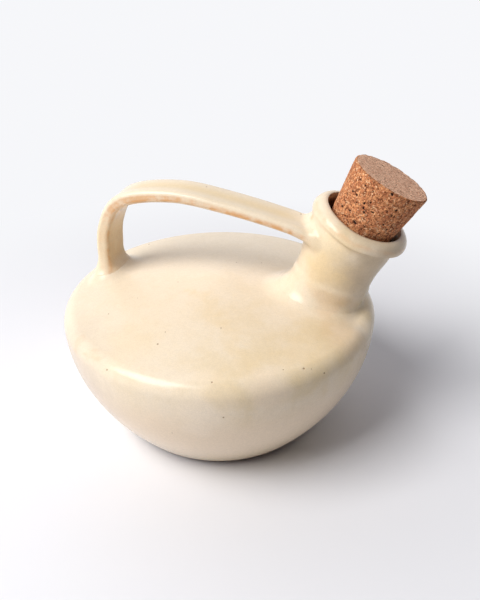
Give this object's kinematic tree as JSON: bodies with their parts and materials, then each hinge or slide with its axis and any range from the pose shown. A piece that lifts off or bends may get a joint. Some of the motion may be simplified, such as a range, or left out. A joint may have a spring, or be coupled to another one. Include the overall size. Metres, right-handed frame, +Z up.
{
  "type": "oil pot",
  "caption": "Round glazed ceramic oil pot with a shallow conical shoulder, a leaning neck with a rolled lip, a strap handle over the top and a tapered cork stopper that pulls out.",
  "frame": {"origin": "centre of the foot's flat underside, on the axis the bowl was thrown about", "axes": "+Z up along the thrown axis, +X from that axis towards the neck, so the neck leans in the XZ plane and the handle runs back towards -X"},
  "size_m": [0.1662, 0.15, 0.1353],
  "materials": {
    "glaze": "satin cream glaze with ochre mottling, pinkish lower wall and tan breaks on the edges",
    "cork": "bare pressed cork, granular, with dark pits"
  },
  "bodies": {
    "pot": {"base_bowl": "glaze", "shoulder_cap": "glaze", "neck": "glaze", "neck_collar": "glaze", "strap_handle": "glaze"},
    "stopper": {"cork_stopper": "cork"}
  },
  "joints": [
    {"name": "stopper_pull", "type": "slide", "parent": "pot", "child": "stopper", "axis": [0.4457, -0.0203, 0.8949], "range_m": [0, 0.06]}
  ]
}
